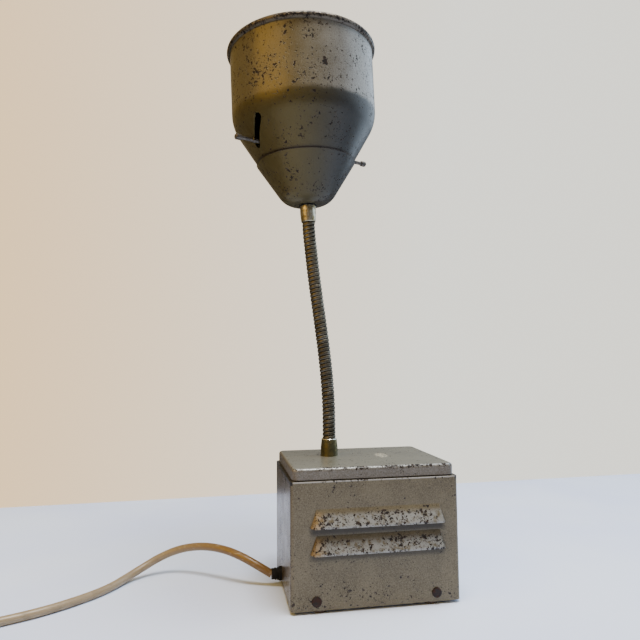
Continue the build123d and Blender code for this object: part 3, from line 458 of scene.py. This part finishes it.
# painted shadow under each louvre: its lip's height, how far below it the shadow reaches, and how dark it is
LOUVRE_SHADOW = ((45.4, 7.0, 0.70), (66.0, 8.5, 0.90))
LID_SHADES = ((0.110, 0.095, 0.075), (0.140, 0.125, 0.102), (0.200, 0.188, 0.165), (0.055, 0.045, 0.034))


def case_wear(shader):
    """Most worn on the louvres, along the front top edge and down the left wall."""
    louvre = shader.math("MULTIPLY", shader.step(shader.y, -65.6, -67.4), 0.8)
    top_edge = shader.math("MULTIPLY", shader.step(shader.z, 99.8, 101.6), 0.55)
    side = shader.math("MULTIPLY", shader.step(shader.x, -43.2, -44.0), 0.45)
    foot = shader.math("MULTIPLY", shader.step(shader.z, 40, 8), 0.32)
    return shader.math("MAXIMUM", shader.math("MAXIMUM", louvre, top_edge),
                       shader.math("MAXIMUM", side, foot))


def case_tints_and_painted_light(shader, colour):
    """Paler, cooler louvres with painted shadow under them and painted warm light on their left ends,
    painted shade on the left wall and in the top corners, and a painted highlight on the front top edge.
    """
    louvre = shader.math("MULTIPLY", shader.step(shader.y, -65.8, -68.5),
                         shader.step(shader.noise(4.0, 2.0, seed=11.0), 0.25, 0.55))
    colour = shader.mix(shader.math("MULTIPLY", louvre, 0.70), colour, (0.285, 0.295, 0.290))
    # painted warm light: the left ends of the louvres tinted orange-brown
    louvre_end_warm_light = shader.math("MULTIPLY", shader.step(shader.y, -65.4, -66.8), shader.step(shader.x, -14, -26))
    colour = shader.mix(shader.math("MULTIPLY", louvre_end_warm_light, 0.6), colour, (0.33, 0.20, 0.06))
    # painted shade: the left wall darkened
    wall = shader.math("MULTIPLY", shader.step(shader.x, -43.0, -43.9), 0.75)
    colour = shader.mix(wall, colour, (0.058, 0.040, 0.016))
    across = shader.math("MULTIPLY", shader.step(shader.x, -31, -25), shader.step(shader.x, 86, 80))
    flat = shader.math("MULTIPLY", across, shader.step(shader.y, -67.0, -65.4))
    # painted shadow: a dark band below each louvre's lip, across the louvres' width
    for lip, reach, strength in LOUVRE_SHADOW:
        below = shader.math("MULTIPLY", shader.step(shader.z, lip - reach, lip - reach / 2.4),
                            shader.step(shader.z, lip + 0.8, lip))
        dirt = shader.math("MULTIPLY", below, shader.math("MULTIPLY", flat, strength))
        colour = shader.mix(dirt, colour, (0.020, 0.015, 0.009))
    # painted shade in the open corners at the top of the walls
    corner = shader.math("MAXIMUM", shader.step(shader.x, -41.2, -42.6), shader.step(shader.x, 93.0, 94.4))
    notch_shade = shader.math("MULTIPLY", corner, shader.step(shader.z, 98.6, 100.0))
    colour = shader.mix(notch_shade, colour, (0.012, 0.010, 0.008))
    # painted highlight: a pale line along the front top edge
    edge = shader.math("MULTIPLY", shader.step(shader.z, 100.6, 101.8), shader.step(shader.y, -63.8, -64.9))
    edge = shader.math("MULTIPLY", edge, shader.math("SUBTRACT", 1.0, notch_shade))
    return shader.mix(shader.math("MULTIPLY", edge, 0.8), colour, (0.46, 0.44, 0.40))


def lid_wear(shader):
    """Worn along the lid's rounded edge."""
    return shader.math("MULTIPLY", shader.step(shader.z, 108.5, 111.2), shader.step(shader.y, -58, -62.4))


def lid_tints_and_painted_light(shader, colour):
    """Painted light: the top lighter, greener and cooler, and patches of painted highlight along the front
    edge;
    with a pale torn patch.
    """
    # painted light: the top lighter, greener and cooler than the sides
    top = shader.step(shader.z, 111.3, 111.9)
    colour = shader.mix(shader.math("MULTIPLY", top, 0.7), colour, (0.200, 0.205, 0.168))
    # painted highlight in patches along the lid's front edge
    edge = shader.math("MULTIPLY", shader.step(shader.z, 109.6, 111.4), shader.step(shader.y, -59.8, -61.8))
    edge_highlight = shader.math("MULTIPLY", edge, shader.step(shader.noise(5.0, 3.0, seed=6.0), 0.30, 0.5))
    colour = shader.mix(shader.math("MULTIPLY", edge_highlight, 0.45), colour, (0.40, 0.43, 0.45))
    across = shader.math("POWER", shader.math("DIVIDE", shader.math("SUBTRACT", shader.x, 46.0), 6.0), 2)
    along = shader.math("POWER", shader.math("DIVIDE", shader.math("SUBTRACT", shader.y, -9.0), 13.0), 2)
    ragged = shader.math("MULTIPLY", shader.noise(3.0, 3.0, seed=8.0), 1.6)
    patch = shader.step(shader.math("ADD", shader.math("ADD", across, along), ragged), 1.75, 1.5)
    torn = shader.math("MULTIPLY", patch, shader.step(shader.noise(2.2, 3.0, seed=12.0), 0.46, 0.52))
    return shader.mix(shader.math("MULTIPLY", torn, top), colour, (0.60, 0.57, 0.44))


SHADE_SHADES = ((0.150, 0.140, 0.120), (0.195, 0.186, 0.165), (0.275, 0.270, 0.250), (0.070, 0.060, 0.045))


def shade_height(shader):
    """Height along the shade's own leaning axis."""
    rise = shader.math("MULTIPLY", shader.math("SUBTRACT", shader.z, HEAD_Z), HEAD_COS)
    aside = shader.math("MULTIPLY", shader.math("SUBTRACT", shader.x, HEAD_X), HEAD_SIN)
    return shader.math("SUBTRACT", rise, aside)


def shade_wear(shader):
    """The shade is spotted most round its shoulder, over the left of the cylinder and at the rim."""
    height = shade_height(shader)
    shoulder = shader.math("MULTIPLY", shader.step(height, 70, 90), shader.step(height, 138, 105))
    left = shader.math("MULTIPLY", shader.step(shader.x, 10, -50), shader.step(height, 74, 92))
    rim = shader.math("MULTIPLY", shader.step(height, 141.5, 144.0), 0.9)
    cup = shader.math("MULTIPLY", shader.step(height, 36, 14), 0.25)
    both = shader.math("ADD", shader.math("MULTIPLY", shoulder, 0.15), shader.math("MULTIPLY", left, 0.15))
    return shader.math("MAXIMUM", shader.math("MAXIMUM", both, rim), cup)


def shade_tints_and_painted_light(shader, colour):
    """Painted shade on the cone, painted warm light on the left side, a brown rim, and dirt with painted
    shade where the cone meets the cup.
    """
    height = shade_height(shader)
    # painted shade: the downward-facing cone darkened, darkest on its left
    wavy = shader.math("ADD", height, shader.math("MULTIPLY", shader.noise(9.0, 2.0, seed=21.0), 5.0))
    cone = shader.step(wavy, 88.5, 83.5)
    dull = shader.mix(shader.step(shader.x, -45, 20), (0.012, 0.010, 0.006), (0.036, 0.037, 0.036))
    colour = shader.mix(shader.math("MULTIPLY", cone, 0.92), colour, dull)
    # painted warm light on the left side of the shade
    warm_light_left_side = shader.math("MULTIPLY", shader.step(shader.x, 12, -48), 0.75)
    colour = shader.mix(warm_light_left_side, colour, (0.105, 0.082, 0.026))
    rim = shader.step(height, 141.8, 142.6)
    colour = shader.mix(shader.math("MULTIPLY", rim, 0.75), colour, (0.085, 0.068, 0.048))
    # dirt and painted shade in the gap where the cone meets the cup
    above = shader.math("MULTIPLY", shader.step(height, 38.9, 39.3), shader.step(height, 42.0, 39.6))
    lip = shader.math("MULTIPLY", shader.step(height, 38.0, 38.8), shader.step(height, 39.6, 39.0))
    seam_dirt_and_shade = shader.math("MULTIPLY", shader.math("MAXIMUM", above, lip), 0.9)
    return shader.mix(seam_dirt_and_shade, colour, (0.030, 0.022, 0.015))


def rusted(name):
    """A steel screw head rusted to a dark red brown."""
    shader = Shader(name, Metallic=0.25, Specular_IOR_Level=0.35)
    grain = shader.noise(1.1, 4.0, roughness=0.65)
    bloom = shader.step(shader.noise(2.6, 2.0, seed=3.0), 0.42, 0.62)
    colour = shader.mix(bloom, (0.014, 0.009, 0.008), (0.036, 0.017, 0.013))
    flecks = shader.math("MULTIPLY", shader.step(grain, 0.58, 0.72), 0.5)
    colour = shader.mix(flecks, colour, (0.075, 0.042, 0.028))
    return shader.finish(colour, shader.blend(bloom, 0.6, 0.9), shader.math("MULTIPLY", grain, 0.10))


def tarnished(name, bright, dull, edge_z=None, spread=4.0, **sockets):
    """Old plating or brass, dulled in patches, bright along one turned edge."""
    shader = Shader(name, Metallic=0.92, **sockets)
    patch = shader.step(shader.noise(spread, 3.0, seed=2.0), 0.38, 0.64)
    lines = shader.noise(0.5, 2.0, (14, 14, 1), seed=1.0)
    colour = shader.mix(patch, dull, bright)
    rough = shader.blend(patch, 0.48, 0.30)
    if edge_z:
        edge = shader.step(shader.z, *edge_z)
        colour = shader.mix(edge, colour, (0.72, 0.70, 0.60))
        rough = shader.blend(edge, rough, 0.22)
    return shader.finish(colour, rough, shader.math("MULTIPLY", lines, 0.015))


def hose_finish(name):
    """Wound strip: dull grey-brown on the turns, nearly black between them with grime and painted shade."""
    shader = Shader(name, Metallic=0.85)
    tarnish = shader.step(shader.noise(7.0, 3.0), 0.36, 0.66)
    grain = shader.noise(0.6, 2.0, (5, 5, 1), seed=4.0)
    up = shader.step(shader.z, 180, 330)
    turn = shader.mix(tarnish, (0.060, 0.052, 0.036), (0.120, 0.108, 0.082))
    turn = shader.mix(shader.math("MULTIPLY", up, 0.45), turn, (0.170, 0.145, 0.095))
    # grime and painted shade: nearly black in the grooves between turns
    off = shader.math("SUBTRACT", shader.x,
                      shader.math("MULTIPLY", shader.step(shader.z, SWAY_FROM, SWAY_TO), SWAY_X))
    reach = shader.math("SQRT", shader.math("ADD", shader.math("MULTIPLY", off, off),
                                            shader.math("MULTIPLY", shader.y, shader.y)))
    groove = shader.step(reach, 5.86, 5.35)
    colour = shader.mix(groove, turn, (0.008, 0.006, 0.004))
    return shader.finish(colour, shader.blend(groove, shader.blend(tarnish, 0.50, 0.36), 0.85),
                         shader.math("MULTIPLY", grain, 0.03))


def cord_finish(name):
    """Old flexible sheath: amber near the lamp, greyer further out, with scuffs and dirt."""
    shader = Shader(name, Subsurface_Weight=0.0, Specular_IOR_Level=0.5)
    away = shader.step(shader.x, -70, -190)
    dirt = shader.step(shader.noise(9.0, 4.0, roughness=0.6), 0.48, 0.72)
    scuff = shader.step(shader.noise(1.6, 2.0, (4, 4, 1), seed=5.0), 0.56, 0.7)
    colour = shader.mix(away, (0.165, 0.088, 0.018), (0.27, 0.205, 0.120))
    colour = shader.mix(shader.math("MULTIPLY", dirt, 0.45), colour, (0.150, 0.112, 0.060))
    colour = shader.mix(shader.math("MULTIPLY", scuff, 0.25), colour, (0.42, 0.36, 0.26))
    height = shader.math("ADD", shader.math("MULTIPLY", shader.noise(2.0, 3.0, seed=2.0), 0.06),
                         shader.math("MULTIPLY", shader.noise(14.0, 1.0, seed=8.0), 0.35))
    return shader.finish(colour, shader.blend(dirt, 0.34, 0.55), height)


def layered(name, first, second, period, axis, **sockets):
    """Thin sheets or wires side by side: a fine ridge every period along one axis."""
    shader = Shader(name, **sockets)
    along = shader.split(shader.place)[axis]
    wave = shader.math("SINE", shader.math("MULTIPLY", along, 2 * math.pi / period))
    ridge = shader.step(wave, -0.6, 0.6)
    patch = shader.step(shader.noise(6.0, 3.0), 0.35, 0.65)
    colour = shader.mix(ridge, first, shader.mix(patch, second, tuple(c * 1.35 for c in second)))
    return shader.finish(colour, shader.blend(ridge, 0.62, 0.38), shader.math("MULTIPLY", ridge, 0.06))


def glass_finish(name):
    """Clear bulb glass, faintly dusty."""
    shader = Shader(name, Transmission_Weight=1.0, IOR=1.47)
    dust = shader.step(shader.noise(5.0, 3.0), 0.5, 0.8)
    colour = shader.mix(dust, (0.97, 0.97, 0.95), (0.88, 0.87, 0.82))
    return shader.finish(colour, shader.blend(dust, 0.02, 0.14))


FINISHES = {
    "case_paint": chipped_paint("case_paint", CASE_SHADES, case_wear, 0.008, case_tints_and_painted_light),
    "lid_paint": chipped_paint("lid_paint", LID_SHADES, lid_wear, 0.022, lid_tints_and_painted_light),
    "shade_paint": chipped_paint("shade_paint", SHADE_SHADES, shade_wear, 0.034, shade_tints_and_painted_light, coat=0.08),
    "black_rubber": mottled("black_rubber", (0.004, 0.004, 0.004), (0.012, 0.011, 0.010), 5.0,
                            (0.55, 0.75), 0.05, Specular_IOR_Level=0.15),
    "brown_rubber": mottled("brown_rubber", (0.05, 0.03, 0.02), (0.09, 0.055, 0.035), 4.0, (0.6, 0.8),
                            0.05),
    "zinc_steel": mottled("zinc_steel", (0.34, 0.33, 0.30), (0.52, 0.52, 0.50), 4.0, (0.32, 0.48), 0.02,
                          Metallic=1.0),
    "rusty_steel": rusted("rusty_steel"),
    "laminated_steel": layered("laminated_steel", (0.06, 0.06, 0.065), (0.17, 0.17, 0.18), 0.7, 1,
                               Metallic=0.6),
    "card": mottled("card", (0.22, 0.14, 0.07), (0.32, 0.22, 0.12), 3.0, (0.6, 0.75), 0.03),
    "varnished_wire": layered("varnished_wire", (0.10, 0.03, 0.01), (0.42, 0.15, 0.05), 0.8, 2,
                              Metallic=0.8),
    "bakelite": mottled("bakelite", (0.035, 0.016, 0.010), (0.07, 0.032, 0.018), 6.0, (0.25, 0.4), 0.01),
    "brass": tarnished("brass", (0.66, 0.47, 0.17), (0.40, 0.28, 0.10)),
    "aged_brass": tarnished("aged_brass", (0.175, 0.150, 0.070), (0.095, 0.088, 0.048), (126.4, 127.2)),
    "nickel": tarnished("nickel", (0.46, 0.42, 0.32), (0.22, 0.18, 0.09)),
    "wire_insulation": mottled("wire_insulation", (0.24, 0.05, 0.03), (0.33, 0.08, 0.05), 5.0,
                               (0.4, 0.55), 0.02),
    "cord_sheath": cord_finish("cord_sheath"),
    "plug_plastic": mottled("plug_plastic", (0.50, 0.41, 0.26), (0.60, 0.52, 0.36), 9.0, (0.3, 0.45), 0.03),
    "plated_brass": mottled("plated_brass", (0.50, 0.46, 0.36), (0.68, 0.66, 0.60), 5.0, (0.2, 0.35),
                            0.01, Metallic=1.0),
    "bright_aluminium": mottled("bright_aluminium", (0.66, 0.66, 0.66), (0.84, 0.84, 0.85), 12.0,
                                (0.12, 0.26), 0.01, Metallic=1.0),
    "carriage_aluminium": mottled("carriage_aluminium", (0.42, 0.42, 0.42), (0.58, 0.58, 0.58), 5.0,
                                  (0.3, 0.42), 0.01, (8, 8, 1), Metallic=1.0),
    "spring_steel": mottled("spring_steel", (0.22, 0.22, 0.22), (0.38, 0.38, 0.38), 4.0, (0.3, 0.45),
                            0.01, Metallic=1.0),
    "pin_steel": mottled("pin_steel", (0.055, 0.048, 0.040), (0.15, 0.13, 0.11), 3.0, (0.35, 0.5), 0.02,
                         Metallic=0.8),
    "hose_steel": hose_finish("hose_steel"),
    "bulb_glass": glass_finish("bulb_glass"),
    "tungsten": mottled("tungsten", (0.20, 0.20, 0.20), (0.34, 0.34, 0.34), 1.0, (0.4, 0.5), 0.005,
                        Metallic=1.0),
}


def set_material(piece, material):
    piece.data.materials.clear()
    piece.data.materials.append(material)


def paint_everything():
    """Each CAD node takes its slot's material, the lid lid_paint, and each added piece a material given here.
    """
    for part in frame["record"]["subparts"]:
        finish = "lid_paint" if part["node"] == "top_lid" else part["material_slot"]
        set_material(frame["nodes"][part["node"]], FINISHES[finish])
    set_material(mains_lead, FINISHES["cord_sheath"])
    set_material(coil_tie, FINISHES["black_rubber"])
    for k in range(10):
        set_material(bpy.data.objects[f"hose_bend_{k + 1:02d}"], FINISHES["hose_steel"])


paint_everything()

# ---- stage -----------------------------------------------------------------------------------


def make_floor():
    """A plain pale cloth-covered table, with its far edge where the wall begins."""
    outline = [(-0.62, -0.95), (0.9, -0.95), (0.9, 0.40), (-0.42, 0.36)]
    floor = add_mesh("floor", [(x, y, 0.0) for x, y in outline], [(0, 1, 2, 3)], smooth=False)
    shader = Shader("floor")
    cloud = shader.step(shader.noise(160.0, 2.0), 0.3, 0.7)
    weave = shader.noise(0.8, 1.0, seed=3.0)
    set_material(floor, shader.finish(shader.mix(cloud, (0.66, 0.75, 1.0), (0.71, 0.80, 1.0)),
                                      shader.blend(cloud, 0.75, 0.85), shader.math("MULTIPLY", weave, 0.02)))


def make_light(name, place, target, size, power, colour):
    data = bpy.data.lights.new(name, "AREA")
    data.shape = "DISK"
    data.size = size
    data.energy = power
    data.color = colour
    light = bpy.data.objects.new(name, data)
    bpy.context.scene.collection.objects.link(light)
    light.location = place
    light.rotation_euler = (Vector(target) - Vector(place)).to_track_quat("-Z", "Y").to_euler()


def make_world():
    """Cream walls seen behind the lamp; their light is golden from the left and cool from the right."""
    world = bpy.data.worlds.new("studio")
    bpy.context.scene.world = world
    world.use_nodes = True
    nodes, links = world.node_tree.nodes, world.node_tree.links

    def ramp(source, low, high, first, second):
        scale, mix = nodes.new("ShaderNodeMapRange"), nodes.new("ShaderNodeMix")
        scale.inputs["From Min"].default_value, scale.inputs["From Max"].default_value = low, high
        mix.data_type = "RGBA"
        links.new(source, scale.inputs["Value"])
        links.new(scale.outputs[0], mix.inputs[0])
        for socket, value in ((mix.inputs[6], first), (mix.inputs[7], second)):
            if isinstance(value, tuple):
                socket.default_value = (*value, 1)
            else:
                links.new(value, socket)
        return mix.outputs[2]

    split = nodes.new("ShaderNodeSeparateXYZ")
    links.new(nodes.new("ShaderNodeTexCoord").outputs["Generated"], split.inputs[0])
    seen = ramp(split.outputs[0], -0.75, 0.35, (1.60, 0.88, 0.18), (1.45, 1.42, 1.28))
    thrown = ramp(split.outputs[0], -0.5, 0.5, (0.46, 0.31, 0.09), (0.38, 0.43, 0.50))
    thrown = ramp(split.outputs[2], -0.05, 0.35, (0.10, 0.09, 0.08), thrown)
    path = nodes.new("ShaderNodeLightPath")
    colour = ramp(path.outputs["Is Camera Ray"], 0, 1, thrown, seen)
    links.new(colour, nodes["Background"].inputs["Color"])


make_floor()
make_world()
make_light("window", (1.10, 0.30, 0.85), (0.0, 0.0, 0.38), 1.60, 16.0, (0.66, 0.82, 1.0))
make_light("lamp_left", (-0.95, -0.62, 0.90), (0.0, 0.0, 0.42), 1.10, 8.5, (1.0, 0.60, 0.13))
make_light("ceiling", (0.10, -0.26, 1.45), (0.0, 0.0, 0.10), 0.70, 33.0, (1.0, 0.98, 0.95))
